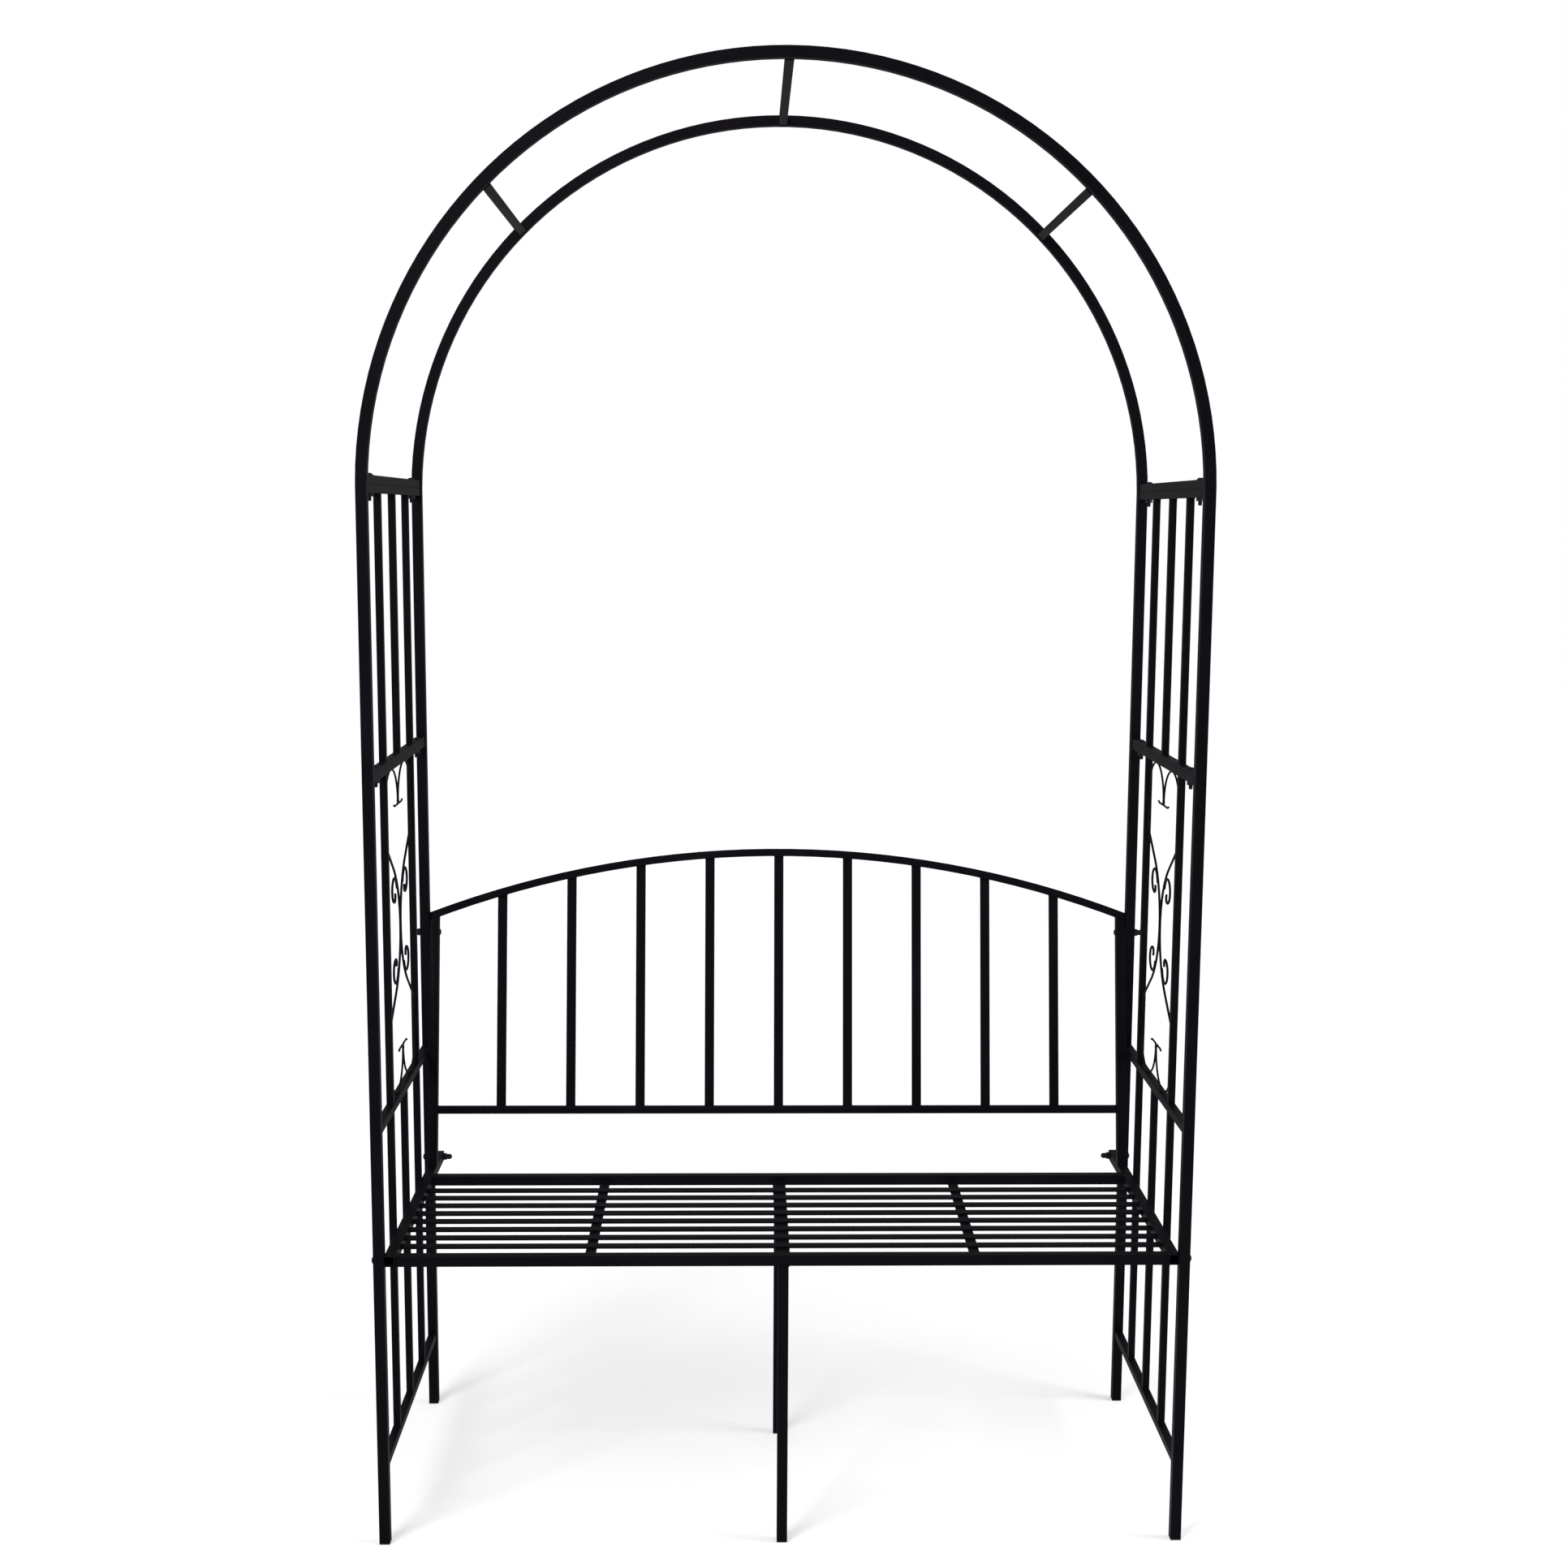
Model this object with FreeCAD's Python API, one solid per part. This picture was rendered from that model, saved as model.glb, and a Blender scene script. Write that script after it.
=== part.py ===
import FreeCAD, Part
import os
from math import acos, atan2, ceil, copysign, cos, degrees, pi, radians, sin, sqrt

# A knock-down garden arch with a bench set across its foot, in square steel tube.
# Millimetres. X runs across the opening, Y from front to rear, +Z is up.
# The origin is on the ground, under the middle of the whole outline.

# Arch
arch_width = 1150.0
arch_depth = 470.0
arch_rise = 565.0
rung_angle = 45.0

# Square tube, with the same wall throughout
post_size = 15.0
crossbar_size = 12.0
panel_bar_size = 10.0
tube_wall = 1.0

# Side panels
lower_panel_height = 1107.0
upper_panel_height = 393.0
scroll_rail_height = 607.0
lower_rail_height = 117.0
upper_strip_thickness = 5.0
bars_per_panel = 3

# Round forms are drawn with flat sides, and bent rods with short chords, to keep the model light
round_sides = 8
rod_sides = 6
rod_sag = 0.35

# Scrollwork
scroll_rod = 3.5
hoop_rod = 3.0
weld_bite = 0.05
arc_straight = 58.5
arc_end_radius = 25.0
arc_end_length = 18.0
arc_to_hoop_gap = 20.5
curl_radius = 18.0
curl_touch_share = 0.74
curl_tail_turn = 18.0
curl_hook_radius = 7.0
curl_hook_turn = 130.0
arm_bend_radius = 4.5
arm_reach = 34.0
arm_tip_radius = 12.0
arm_tip_turn = 35.0

# Seat
seat_height = 429.0
seat_depth = 356.0
seat_tube = 15.0
slat_count = 8
slat_pitch = 33.8
slat_width = 15.0
strip_thickness = 3.0
cross_strip_width = 15.0
cross_strip_offset = 273.5
centre_strip_width = 20.0

# Backrest, measured along its own slope from the bolts it hangs on
back_bolt_height = 795.0
back_recline = 10.0
back_post = 15.0
back_rail = 12.0
back_crown = 134.5
back_shoulder = 31.5
back_bottom_drop = 284.0
back_bar_count = 9
back_bar_pitch = 111.0
back_bar_width = 15.0

# Fasteners
bolt_diameter = 6.0
bolt_hole = 6.5
thread_clearance = 0.1
head_diameter = 12.0
head_height = 3.3
head_crown_diameter = 5.0
head_shoulder_diameter = 9.6
head_shoulder_height = 2.1
tip_chamfer = 0.8
thread_overhang = 6.0
nut_sides = 6
nut_across_flats = 10.0
nut_thickness = 5.0
cap_diameter = 8.5
cap_shoulder = 9.8
cap_bend_diameter = 6.4
cap_bend_height = 12.6
cap_tip_diameter = 2.8
cap_nut_length = 14.0
cap_thread_depth = 11.0
cap_thread_engagement = 10.0
panel_bolt_inset = 62.0

# Foot plugs
foot_thickness = 2.0
foot_edge_chamfer = 0.8
plug_length = 14.0
plug_clearance = 0.15

X_AXIS, Y_AXIS, Z_AXIS = (FreeCAD.Vector(*unit) for unit in ((1, 0, 0), (0, 1, 0), (0, 0, 1)))

os.makedirs("parts", exist_ok=True)


def save(node, solids):
    """Write one node, which may hold several separate solids."""
    shape = solids[0] if len(solids) == 1 else Part.makeCompound(solids)
    shape.exportStep(f"parts/{node}.step")


def save_pair(node, solids):
    """Write a node of the right-hand side panel and its mirror image on the left."""
    save(f"{node}_right", solids)
    save(f"{node}_left", [solid.mirror(FreeCAD.Vector(), X_AXIS) for solid in solids])


def flat_section(width, depth):
    """Face of a flat bar in the XY plane, centred on the origin."""
    return Part.makePlane(width, depth, FreeCAD.Vector(-width / 2, -depth / 2, 0))


def tube_section(size):
    """Face of a square tube in the XY plane, centred on the origin."""
    bore = size - 2 * tube_wall
    return flat_section(size, size).cut(flat_section(bore, bore)).Faces[0]


def beam(section, start, end):
    """Straight bar from start to end along one axis of the frame.

    The section's own X lies across the bar: along X for upright bars and for bars that run front to
    rear, and along Y for bars that run from side to side.
    """
    run = FreeCAD.Vector(*end) - FreeCAD.Vector(*start)
    face = section.copy()
    if abs(run.x) > abs(run.y) + abs(run.z):
        face.rotate(FreeCAD.Vector(), FreeCAD.Vector(1, 1, 1), 120)
    elif abs(run.y) > abs(run.x) + abs(run.z):
        face.rotate(FreeCAD.Vector(), X_AXIS, 90)
    face.translate(FreeCAD.Vector(*start))
    return face.extrude(run)


def ring(diameter, height, sides=round_sides):
    """Regular polygon across the Z axis, with the diameter between its flats and a flat towards +X."""
    corner = diameter / 2 / cos(pi / sides)
    angles = [pi * (2 * number + 1) / sides for number in range(sides)]
    points = [FreeCAD.Vector(corner * cos(angle), corner * sin(angle), height) for angle in angles]
    return Part.makePolygon(points + points[:1])


def skin(rings):
    """Solid with flat faces through closed polygons that have the same number of corners."""
    corners = [[vertex.Point for vertex in polygon.Vertexes] for polygon in rings]
    faces = [Part.Face(rings[0]), Part.Face(rings[-1])]
    for near, far in zip(corners, corners[1:]):
        for number in range(len(near)):
            side = [near[number - 1], near[number], far[number], far[number - 1]]
            faces.append(Part.Face(Part.makePolygon(side + side[:1])))
    return Part.makeSolid(Part.makeShell(faces))


def turned(profile, sides=round_sides):
    """Solid through rings given as pairs of diameter and height, from one end to the other."""
    return skin([ring(diameter, height, sides) for diameter, height in profile])


def placed(shape, point, direction):
    """Shape built along +Z, turned to the direction and moved to the point."""
    copy = shape.copy()
    copy.Placement = FreeCAD.Placement(FreeCAD.Vector(*point), FreeCAD.Rotation(Z_AXIS, direction))
    return copy


def drill(shape, axis, points):
    """Shape with a bolt hole through each point along the axis, through every wall it meets."""
    tool = turned(((bolt_hole, -post_size), (bolt_hole, post_size)))
    for point in points:
        shape = shape.cut(placed(tool, point, axis))
    return shape


def bolt(shank_length):
    """Domed-head bolt along +Z, with the underside of its head at the origin."""
    head = turned(((head_crown_diameter, -head_height), (head_shoulder_diameter, -head_shoulder_height),
                   (head_diameter, 0)))
    shank = turned(((bolt_diameter, 0), (bolt_diameter, shank_length - tip_chamfer),
                    (bolt_diameter - 2 * tip_chamfer, shank_length)))
    return head.fuse(shank)


def nut():
    """Plain nut along +Z, bearing on the XY plane."""
    bore = turned(((thread_bore, 0), (thread_bore, nut_thickness)))
    return turned(((nut_across_flats, 0), (nut_across_flats, nut_thickness)), nut_sides).cut(bore)


def cap_nut():
    """Nut with a closed, round-ended cap, bearing on the XY plane."""
    hexagon = turned(((nut_across_flats, 0), (nut_across_flats, nut_thickness)), nut_sides)
    cap = turned(((cap_diameter, nut_thickness), (cap_diameter, cap_shoulder),
                  (cap_bend_diameter, cap_bend_height), (cap_tip_diameter, cap_nut_length)))
    bore = turned(((thread_bore, 0), (thread_bore, cap_thread_depth)))
    return hexagon.fuse(cap).cut(bore)


# Planes that the pieces share, worked out from the sizes above
half_width = arch_width / 2
post_x = half_width - post_size / 2
inner_x = half_width - post_size
recline = radians(back_recline)
back_overhang = back_crown * sin(recline) + back_rail / 2 * cos(recline) - post_size / 2
front_face = -(arch_depth + back_overhang) / 2
rear_face = front_face + arch_depth
front_post_y = front_face + post_size / 2
rear_post_y = rear_face - post_size / 2
bar_from_y = front_face + post_size
bar_to_y = rear_face - post_size
mid_y = (front_face + rear_face) / 2
arch_base = lower_panel_height + upper_panel_height
half_bar = crossbar_size / 2
bar_pitch = (rear_post_y - front_post_y) / (bars_per_panel + 1)
thread_bore = bolt_diameter + 2 * thread_clearance

post_section = tube_section(post_size)
crossbar_section = tube_section(crossbar_size)
panel_bar_section = tube_section(panel_bar_size)


def crossbar(height):
    """Bar from the front post to the rear post of the right-hand panel, centred at the height."""
    return beam(crossbar_section, (post_x, bar_from_y, height), (post_x, bar_to_y, height))


def panel_bars(numbers, bottom, top):
    """Upright bars of the right-hand panel, numbered from the front, between two heights."""
    places = [front_post_y + bar_pitch * number for number in numbers]
    return [beam(panel_bar_section, (post_x, y, bottom), (post_x, y, top)) for y in places]


# Arch: two bent tubes, three rungs and the two bars at its feet
arch_radius = (half_width ** 2 + arch_rise ** 2) / (2 * arch_rise)
arch_centre = FreeCAD.Vector(0, 0, arch_base + arch_rise - arch_radius)
rung_radius = arch_radius - post_size + half_bar


def arch_tube(y):
    """Bent tube over the opening, cut level where it stands on the posts."""
    beyond_foot = 30
    section = post_section.copy()
    section.translate(arch_centre + FreeCAD.Vector(arch_radius - post_size / 2, y, 0))
    section.rotate(arch_centre, Y_AXIS, beyond_foot)
    bent = section.revolve(arch_centre, -Y_AXIS, 180 + 2 * beyond_foot)
    below = Part.makeBox(2 * arch_width, 2 * arch_depth, arch_base,
                         FreeCAD.Vector(-arch_width, -arch_depth, 0))
    return bent.cut(below)


save("arch_front_tube", [arch_tube(front_post_y)])
save("arch_rear_tube", [arch_tube(rear_post_y)])
for side, angle in (("left", 90 + rung_angle), ("centre", 90), ("right", 90 - rung_angle)):
    rung = beam(crossbar_section, (rung_radius, bar_from_y, arch_centre.z),
                (rung_radius, bar_to_y, arch_centre.z))
    rung.rotate(arch_centre, Y_AXIS, -angle)
    save(f"arch_rung_{side}", [rung])

# Bars that bolt together in pairs: tube on tube at the arch's foot, and a flat strip under the upper
# panel on the tube that closes the lower one
bolt_places = [(post_x, y) for y in (front_face + panel_bolt_inset, rear_face - panel_bolt_inset)]
upper_strip_height = lower_panel_height + upper_strip_thickness / 2
upper_strip = beam(flat_section(crossbar_size, upper_strip_thickness),
                   (post_x, bar_from_y, upper_strip_height), (post_x, bar_to_y, upper_strip_height))
for node, bar, height in (("arch_foot_bar", crossbar(arch_base + half_bar), arch_base),
                          ("upper_top_bar", crossbar(arch_base - half_bar), arch_base),
                          ("upper_bottom_bar", upper_strip, lower_panel_height),
                          ("lower_top_bar", crossbar(lower_panel_height - half_bar), lower_panel_height)):
    save_pair(node, [drill(bar, Z_AXIS, [(x, y, height) for x, y in bolt_places])])

# Upper side panel
for place, y in (("front", front_post_y), ("rear", rear_post_y)):
    post = beam(post_section, (post_x, y, lower_panel_height), (post_x, y, arch_base))
    save_pair(f"upper_post_{place}", [post])
save_pair("upper_bars", panel_bars(range(1, bars_per_panel + 1),
                                   lower_panel_height + upper_strip_thickness, arch_base - crossbar_size))

# Lower side panel
seat_bolt_z = seat_height - seat_tube / 2
post_holes = {"front": [(post_x, front_post_y, seat_bolt_z)],
              "rear": [(post_x, rear_post_y, seat_bolt_z), (post_x, rear_post_y, back_bolt_height)]}
for place, y in (("front", front_post_y), ("rear", rear_post_y)):
    post = beam(post_section, (post_x, y, foot_thickness), (post_x, y, lower_panel_height))
    save_pair(f"lower_post_{place}", [drill(post, X_AXIS, post_holes[place])])
save_pair("scroll_rail", [crossbar(scroll_rail_height)])
save_pair("lower_rail", [crossbar(lower_rail_height)])
scroll_bottom = scroll_rail_height + half_bar
scroll_top = lower_panel_height - crossbar_size
save_pair("scroll_bars", panel_bars((1, bars_per_panel), scroll_bottom, scroll_top))
save_pair("lower_bars", panel_bars(range(1, bars_per_panel + 1),
                                   lower_rail_height + half_bar, scroll_rail_height - half_bar))

# Scrollwork between the two long bars. Its places are measured from the middle of the panel:
# u to the rear and v upwards. Every rod is drawn in the upper rear quarter and mirrored.
scroll_mid_z = (scroll_bottom + scroll_top) / 2
panel_half = (scroll_top - scroll_bottom) / 2
bar_face_u = bar_pitch * (bars_per_panel - 1) / 2 - panel_bar_size / 2


def panel_point(u, v):
    """Point in the plane of the right-hand panel."""
    return FreeCAD.Vector(post_x, mid_y + u, scroll_mid_z + v)


def bend(u, v, radius, start, turn):
    """Stations round an arc about (u, v), from the start angle through the turn.

    Each station is a place and a heading. Angles are in degrees, from the +Y direction towards +Z.
    """
    chord_angle = degrees(2 * acos(1 - rod_sag / radius))
    steps = ceil(abs(turn) / chord_angle)
    stations = []
    for step in range(steps + 1):
        angle = start + turn * step / steps
        place = (u + radius * cos(radians(angle)), v + radius * sin(radians(angle)))
        stations.append((*place, angle + copysign(90, turn)))
    return stations


def rod(runs, diameter):
    """Rod through the stations of runs that follow on, with a flat towards its neighbours."""
    stations = runs[0] + [station for run in runs[1:] for station in run[1:]]
    sections = []
    for u, v, heading in stations:
        section = ring(diameter, 0, rod_sides)
        section.rotate(FreeCAD.Vector(), Z_AXIS, 90)
        section.rotate(FreeCAD.Vector(), X_AXIS, heading - 90)
        section.translate(panel_point(u, v))
        sections.append(section)
    return skin(sections)


def mirrored(rods, normal):
    """The rods and their mirror images across the middle of the scroll panel."""
    return rods + [each.mirror(panel_point(0, 0), normal) for each in rods]


# Hoop: its outer leg lies on the bar, its crown on the crossbar and its stem on its twin's stem
hoop_stem_u = hoop_rod / 2 - weld_bite / 2
hoop_bar_u = bar_face_u - hoop_rod / 2 + weld_bite
hoop_radius = (hoop_bar_u - hoop_stem_u) / 2
hoop_u = (hoop_bar_u + hoop_stem_u) / 2
hoop_v = panel_half - hoop_rod / 2 + weld_bite - hoop_radius
arm_v = hoop_v - arm_bend_radius
tip_u = arm_reach - arm_tip_radius * sin(radians(arm_tip_turn))
hoop = rod([
    bend(hoop_u, hoop_v, hoop_radius, 0, 90),
    bend(hoop_u, hoop_v, hoop_radius, 90, 90),
    bend(hoop_stem_u + arm_bend_radius, hoop_v, arm_bend_radius, 180, 90),
    [(hoop_stem_u + arm_bend_radius, arm_v, 0), (tip_u, arm_v, 0)],
    bend(tip_u, arm_v + arm_tip_radius, arm_tip_radius, 270, arm_tip_turn)], hoop_rod)
save_pair("scroll_hoops", mirrored(mirrored([hoop], Y_AXIS), Z_AXIS))

# Arc: a long bend at the middle, a straight run out to the bar and a short run along the bar.
# The long bend turns until the straight run leads into the end bend, whatever the panel's size.
arc_mid_u = scroll_rod / 2 - weld_bite / 2
arc_bar_u = bar_face_u - scroll_rod / 2 + weld_bite
arc_end_u = arc_bar_u - arc_end_radius
arc_end_v = hoop_v - arc_to_hoop_gap - arc_end_length
arc_turn = 2 * atan2(arc_bar_u - arc_mid_u, arc_end_v + arc_straight)
arc_radius = (arc_end_v - arc_straight * cos(arc_turn)) / sin(arc_turn) - arc_end_radius
arc_u = arc_mid_u + arc_radius
straight_angle = 180 - degrees(arc_turn)
touch_angle = 180 - curl_touch_share * degrees(arc_turn)
arc_end = bend(arc_end_u, arc_end_v, arc_end_radius, 0, -degrees(arc_turn))
arc_outer = bend(arc_u, 0, arc_radius, straight_angle, touch_angle - straight_angle)
arc_inner = bend(arc_u, 0, arc_radius, touch_angle, 180 - touch_angle)
arc_upper_half = [
    [(arc_bar_u, arc_end_v + arc_end_length, -90), arc_end[0]],
    arc_end,
    [arc_end[-1], arc_outer[0]],
    arc_outer,
    arc_inner]
arc_lower_half = [[(u, -v, -180 - heading) for u, v, heading in reversed(run)]
                  for run in reversed(arc_upper_half)]
arc = rod(arc_upper_half + arc_lower_half, scroll_rod)
save_pair("scroll_arcs", mirrored([arc], Y_AXIS))

# Curl: a C whose tail lies along the arc where the two rods touch, and whose tip is a small hook
touch_reach = arc_radius - scroll_rod + weld_bite
touch_cos = cos(radians(touch_angle))
touch_sin = sin(radians(touch_angle))
tail_radius = sqrt(touch_reach * curl_radius)
tail_u = arc_u + (touch_reach - tail_radius) * touch_cos
tail_v = (touch_reach - tail_radius) * touch_sin
curl_u = arc_u + (touch_reach - curl_radius) * touch_cos
curl_v = (touch_reach - curl_radius) * touch_sin
curl = rod([
    bend(tail_u, tail_v, tail_radius, touch_angle + curl_tail_turn, -curl_tail_turn),
    bend(curl_u, curl_v, curl_radius, touch_angle, -touch_angle - 90),
    bend(curl_u, curl_v - curl_radius + curl_hook_radius, curl_hook_radius, -90, -curl_hook_turn)],
    scroll_rod)
save_pair("scroll_curls", mirrored(mirrored([curl], Y_AXIS), Z_AXIS))

# Seat frame: side rails bolted inside the posts, with the front and rear rails between them
seat_section = tube_section(seat_tube)
rail_x = inner_x - seat_tube / 2
seat_inner_x = inner_x - seat_tube
front_rail_y = front_face + seat_tube / 2
rear_rail_y = front_face + seat_depth - seat_tube / 2
for side, sign in (("right", 1), ("left", -1)):
    x = sign * rail_x
    rail = beam(seat_section, (x, front_face, seat_bolt_z), (x, rear_face, seat_bolt_z))
    holes = [(x, y, seat_bolt_z) for y in (front_post_y, rear_post_y)]
    save(f"seat_side_rail_{side}", [drill(rail, X_AXIS, holes)])
for place, y in (("front", front_rail_y), ("rear", rear_rail_y)):
    rail = beam(seat_section, (-seat_inner_x, y, seat_bolt_z), (seat_inner_x, y, seat_bolt_z))
    save(f"seat_{place}_rail", [rail])
    leg = beam(seat_section, (0, y, foot_thickness), (0, y, seat_height - seat_tube))
    save(f"seat_leg_{place}", [leg])

# Slats at the middle of the side rails, on strips that run from the front rail to the rear rail
slats_mid_y = (front_rail_y + rear_rail_y) / 2
slat_places = [slats_mid_y + slat_pitch * (number - (slat_count - 1) / 2)
               for number in range(slat_count)]
slat_section = flat_section(slat_width, strip_thickness)
save("seat_slats", [beam(slat_section, (-seat_inner_x, y, seat_bolt_z), (seat_inner_x, y, seat_bolt_z))
                    for y in slat_places])


def cross_strip(x, width):
    """Flat strip under the slats."""
    section = flat_section(width, strip_thickness)
    height = seat_bolt_z - strip_thickness
    return beam(section, (x, front_rail_y + seat_tube / 2, height),
                (x, rear_rail_y - seat_tube / 2, height))


save("seat_cross_strips", [cross_strip(x, cross_strip_width)
                           for x in (-cross_strip_offset, cross_strip_offset)])
save("seat_centre_strip", [cross_strip(0, centre_strip_width)])

# Backrest, drawn upright in the plane of the rear posts and then reclined about its two bolts
back_top_radius = (inner_x ** 2 + (back_crown - back_shoulder) ** 2) / (2 * (back_crown - back_shoulder))
back_top_centre = FreeCAD.Vector(0, rear_post_y, back_bolt_height + back_crown - back_top_radius)
back_under_radius = back_top_radius - back_rail
back_bottom_z = back_bolt_height - back_bottom_drop
back_end_x = inner_x - back_post
back_rail_section = tube_section(back_rail)
below_top_rail = Part.makeCylinder(back_under_radius, arch_depth,
                                   back_top_centre - Y_AXIS * (arch_depth / 2), Y_AXIS)


def reclined(shape):
    """Shape turned back about the line through the two backrest bolts."""
    shape.rotate(FreeCAD.Vector(0, rear_post_y, back_bolt_height), X_AXIS, -back_recline)
    return shape


def back_top_rail():
    """Arched rail that runs over both end posts, bent a little longer and trimmed between the panels."""
    beyond_post = 2
    half_turn = degrees(atan2(inner_x, back_top_radius - back_crown + back_shoulder)) + beyond_post
    section = back_rail_section.copy()
    section.translate(back_top_centre + FreeCAD.Vector(back_top_radius - back_rail / 2, 0, 0))
    section.rotate(back_top_centre, Y_AXIS, half_turn - 90)
    bent = section.revolve(back_top_centre, -Y_AXIS, 2 * half_turn)
    between_posts = Part.makeBox(2 * inner_x, arch_depth, 2 * back_top_radius,
                                 FreeCAD.Vector(-inner_x, rear_post_y - arch_depth / 2, 0))
    return bent.common(between_posts)


save("back_top_rail", [reclined(back_top_rail())])
save("back_bottom_rail", [reclined(beam(back_rail_section, (-back_end_x, rear_post_y, back_bottom_z),
                                        (back_end_x, rear_post_y, back_bottom_z)))])
bars = []
for number in range(back_bar_count):
    x = back_bar_pitch * (number - (back_bar_count - 1) / 2)
    bar = beam(flat_section(back_bar_width, strip_thickness),
               (x, rear_post_y, back_bottom_z + back_rail / 2),
               (x, rear_post_y, back_bolt_height + back_crown))
    bars.append(reclined(bar.common(below_top_rail)))
save("back_bars", bars)

# End posts stand on the seat's side rails and stop under the top rail
above_side_rails = Part.makeBox(arch_width, 2 * arch_depth, arch_base,
                                FreeCAD.Vector(-half_width, -arch_depth, seat_height))
for side, sign in (("right", 1), ("left", -1)):
    x = sign * (inner_x - back_post / 2)
    post = beam(tube_section(back_post), (x, rear_post_y, 0),
                (x, rear_post_y, back_bolt_height + back_crown))
    post = drill(post, X_AXIS, [(x, rear_post_y, back_bolt_height)]).common(below_top_rail)
    save(f"back_end_post_{side}", [reclined(post).common(above_side_rails)])

# Bolts and nuts through the paired bars, heads up
panel_bolts = []
panel_nuts = []
for height, upper_bar in ((lower_panel_height, upper_strip_thickness), (arch_base, crossbar_size)):
    panel_bolt = bolt(upper_bar + crossbar_size + nut_thickness + thread_overhang)
    for x, y in bolt_places + [(-x, y) for x, y in bolt_places]:
        panel_bolts.append(placed(panel_bolt, (x, y, height + upper_bar), -Z_AXIS))
        panel_nuts.append(placed(nut(), (x, y, height - crossbar_size), -Z_AXIS))
save("panel_bolts", panel_bolts)
save("panel_nuts", panel_nuts)

# Seat bolts, heads outside the posts and cap nuts inside the side rails
seat_bolt = bolt(post_size + seat_tube + cap_thread_engagement)
seat_joints = [(sign, y) for y in (front_post_y, rear_post_y) for sign in (1, -1)]
save("seat_bolts", [placed(seat_bolt, (sign * half_width, y, seat_bolt_z), X_AXIS * -sign)
                    for sign, y in seat_joints])
save("seat_cap_nuts", [placed(cap_nut(), (sign * seat_inner_x, y, seat_bolt_z), X_AXIS * -sign)
                       for sign, y in seat_joints])

# Backrest bolts, heads inside and cap nuts outside the rear posts
back_bolt = bolt(post_size + back_post + cap_thread_engagement)
save("back_bolts", [placed(back_bolt, (sign * back_end_x, rear_post_y, back_bolt_height), X_AXIS * sign)
                    for sign in (1, -1)])
save("back_cap_nuts", [placed(cap_nut(), (sign * half_width, rear_post_y, back_bolt_height), X_AXIS * sign)
                       for sign in (1, -1)])


def foot_plug(tube_size):
    """Moulded plug with a square flange under the tube and a stub inside it."""
    flange = beam(flat_section(tube_size, tube_size), (0, 0, 0), (0, 0, foot_thickness))
    lower_edges = [edge for edge in flange.Edges if edge.BoundBox.ZMax < foot_thickness / 2]
    stub_size = tube_size - 2 * tube_wall - 2 * plug_clearance
    stub = beam(flat_section(stub_size, stub_size), (0, 0, foot_thickness), (0, 0, plug_length))
    return flange.makeChamfer(foot_edge_chamfer, lower_edges).fuse(stub)


feet = [(post_size, sign * post_x, y) for y in (front_post_y, rear_post_y) for sign in (1, -1)]
feet += [(seat_tube, 0, y) for y in (front_rail_y, rear_rail_y)]
plugs = []
for tube_size, x, y in feet:
    plug = foot_plug(tube_size)
    plug.translate(FreeCAD.Vector(x, y, 0))
    plugs.append(plug)
save("foot_plugs", plugs)
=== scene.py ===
import math

import bmesh
import bpy
from mathutils import Matrix, Vector


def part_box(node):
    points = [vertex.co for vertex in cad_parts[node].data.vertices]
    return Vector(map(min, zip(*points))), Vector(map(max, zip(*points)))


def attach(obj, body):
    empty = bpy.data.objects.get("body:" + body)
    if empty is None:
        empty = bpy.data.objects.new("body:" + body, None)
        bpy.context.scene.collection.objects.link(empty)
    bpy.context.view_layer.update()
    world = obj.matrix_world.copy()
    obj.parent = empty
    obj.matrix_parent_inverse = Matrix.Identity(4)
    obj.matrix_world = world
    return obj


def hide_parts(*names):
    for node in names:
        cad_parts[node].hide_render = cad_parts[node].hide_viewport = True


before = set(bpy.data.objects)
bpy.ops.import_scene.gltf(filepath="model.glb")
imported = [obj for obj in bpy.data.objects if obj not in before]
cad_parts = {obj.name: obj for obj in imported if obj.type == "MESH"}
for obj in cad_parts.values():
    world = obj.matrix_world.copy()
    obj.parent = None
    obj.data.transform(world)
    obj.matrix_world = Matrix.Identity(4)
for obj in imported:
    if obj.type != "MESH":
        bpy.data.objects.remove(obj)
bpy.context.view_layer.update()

# The camera stands a little left of the middle, at chest height, and looks slightly down.
# It is the photograph's own view, with an ordinary lens and no shift. Focal length and picture
# width are in the photograph's pixels.
picture_width, focal_length, sensor_width = 1932, 2443.75, 36
eye_left, eye_before_posts, eye_height = 0.0608, 2.6739, 1.4587
eye = Vector((-eye_left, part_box("lower_post_front_left")[0].y - eye_before_posts, eye_height))
yaw, pitch, roll = (math.radians(angle) for angle in (1.2425, 7.6725, -0.3095))
ahead = Vector((math.sin(yaw) * math.cos(pitch), math.cos(yaw) * math.cos(pitch), -math.sin(pitch)))
level = Vector((math.cos(yaw), -math.sin(yaw), 0))
down = ahead.cross(level)
right = math.cos(roll) * level + math.sin(roll) * down
up = math.sin(roll) * level - math.cos(roll) * down
camera = bpy.data.objects.new("camera", bpy.data.cameras.new("camera"))
camera.data.sensor_width = sensor_width
camera.data.lens = sensor_width * focal_length / picture_width
camera.matrix_world = Matrix.Translation(eye) @ Matrix((right, up, -ahead)).transposed().to_4x4()
bpy.context.collection.objects.link(camera)
bpy.context.scene.camera = camera
bpy.context.scene.view_settings.view_transform = "Standard"

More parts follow.
